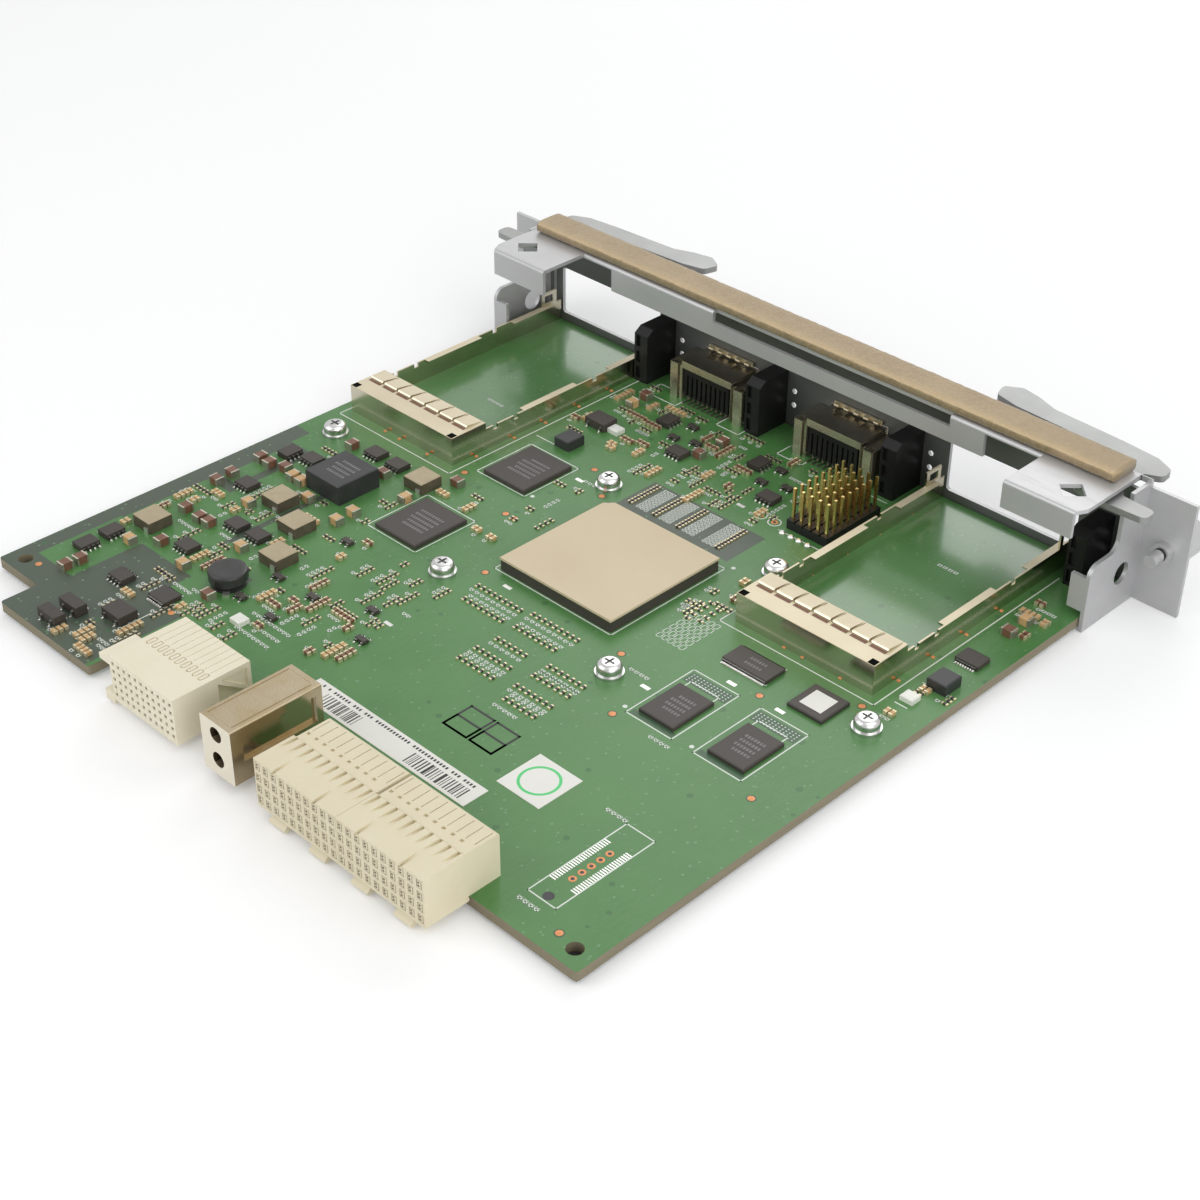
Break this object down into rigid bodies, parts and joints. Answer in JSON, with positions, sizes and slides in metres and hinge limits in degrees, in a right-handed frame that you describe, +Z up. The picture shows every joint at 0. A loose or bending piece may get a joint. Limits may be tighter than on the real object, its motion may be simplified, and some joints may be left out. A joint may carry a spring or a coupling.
{
  "type": "switch expansion module",
  "caption": "Plug-in switch card: folded front panel with levers and captive screws, transceiver bays, copper cable ports, and a circuit board with backplane connectors.",
  "frame": {"origin": "middle of the front panel's seating plane (the rear face of the end flanges), level with the underside of the circuit board", "axes": "+Y is the way the card slides in, from the front panel to the backplane connectors. +Z is up, away from the board's underside. +X runs along the panel, to the right as seen from the front."},
  "size_m": [0.2154, 0.2056, 0.0347],
  "materials": {
    "board_laminate": "green solder mask over glass-fibre laminate, satin",
    "insulating_film": "thin black film",
    "plated_steel": "zinc-plated sheet, satin",
    "lever_steel": "zinc-plated sheet, satin",
    "bright_steel": "bright nickel-plated",
    "spring_steel": "drawn wire",
    "conductive_gasket": "woven conductive cloth over foam",
    "knob_metal": "machined, satin",
    "gold_plated": "yellow passivated",
    "bay_plating": "bright tin-plated",
    "black_plastic": "moulded, satin",
    "port_shell": "nickel-plated zinc, satin",
    "gold_contact": "gold-plated",
    "ivory_plastic": "moulded, satin",
    "cream_plastic": "moulded, satin",
    "cast_nickel": "die cast, nickel-plated",
    "beige_lid": "matt ceramic-like coat",
    "chip_black": "moulded epoxy",
    "ferrite_black": "moulded ferrite",
    "inductor_tan": "pressed ferrite, tan top",
    "capacitor_ceramic": "fired ceramic with tinned ends",
    "lamp_white": "clear-white lens",
    "header_plastic": "moulded",
    "label_paper": "plain printed paper"
  },
  "bodies": {
    "chassis": {"board_label": "label_paper", "board_lamps": "lamp_white", "board_screws": "bright_steel", "boot_chip": "chip_black", "buffer_chip": "chip_black", "cable_port_contacts_1": "gold_contact", "cable_port_contacts_2": "gold_contact", "cable_port_insulator_1": "black_plastic", "cable_port_insulator_2": "black_plastic", "cable_port_shell_1": "port_shell", "cable_port_shell_2": "port_shell", "capacitors": "capacitor_ceramic", "chokes": "ferrite_black", "circuit_board": "board_laminate", "drum_inductor": "ferrite_black", "front_panel": "plated_steel", "guide_block": "cast_nickel", "header_base": "header_plastic", "header_pins": "gold_contact", "heat_spreader": "beige_lid", "insulating_sheet": "insulating_film", "interface_chip_1": "chip_black", "interface_chip_2": "chip_black", "lamp_block_1": "black_plastic", "lamp_block_2": "black_plastic", "lamp_block_3": "black_plastic", "lamp_block_4": "black_plastic", "left_lever_pivot": "bright_steel", "left_screw_ferrule": "gold_plated", "left_screw_spring": "spring_steel", "left_side_plate": "plated_steel", "left_transceiver_bay": "bay_plating", "left_transceiver_socket": "black_plastic", "memory_chip_1": "chip_black", "memory_chip_2": "chip_black", "outline_chips": "chip_black", "pair_connector_1": "cream_plastic", "pair_connector_2": "cream_plastic", "power_module": "ferrite_black", "power_transistors": "chip_black", "right_lever_pivot": "bright_steel", "right_screw_ferrule": "gold_plated", "right_screw_spring": "spring_steel", "right_side_plate": "plated_steel", "right_transceiver_bay": "bay_plating", "right_transceiver_socket": "black_plastic", "screw_washers": "bright_steel", "shielded_inductors": "inductor_tan", "signal_connector": "ivory_plastic", "small_transistors": "chip_black", "square_sticker": "label_paper", "switch_chip": "chip_black", "top_gasket": "conductive_gasket", "wide_chips": "chip_black"},
    "left_lever": {"left_lever": "lever_steel"},
    "left_slip_washer": {"left_slip_washer": "spring_steel"},
    "left_thumbscrew": {"left_thumbscrew": "knob_metal"},
    "right_lever": {"right_lever": "lever_steel"},
    "right_slip_washer": {"right_slip_washer": "spring_steel"},
    "right_thumbscrew": {"right_thumbscrew": "knob_metal"}
  },
  "joints": [
    {"name": "left_lever_swing", "type": "hinge", "parent": "chassis", "child": "left_lever", "pos_m": [-0.0856, 0.005, 0.0278], "axis": [0, 0, 1], "range_deg": [-18, 0]},
    {"name": "left_screw_pull", "type": "slide", "parent": "chassis", "child": "left_slip_washer", "axis": [0, -1, 0], "range_m": [0, 0.0034]},
    {"name": "left_screw_turn", "type": "hinge", "parent": "left_slip_washer", "child": "left_thumbscrew", "pos_m": [-0.1019, 0, 0.0142], "axis": [0, 1, 0], "continuous": true},
    {"name": "right_lever_swing", "type": "hinge", "parent": "chassis", "child": "right_lever", "pos_m": [0.0856, 0.005, 0.0278], "axis": [0, 0, 1], "range_deg": [0, 18]},
    {"name": "right_screw_pull", "type": "slide", "parent": "chassis", "child": "right_slip_washer", "axis": [0, -1, 0], "range_m": [0, 0.0034]},
    {"name": "right_screw_turn", "type": "hinge", "parent": "right_slip_washer", "child": "right_thumbscrew", "pos_m": [0.1019, 0, 0.0142], "axis": [0, 1, 0], "continuous": true}
  ]
}
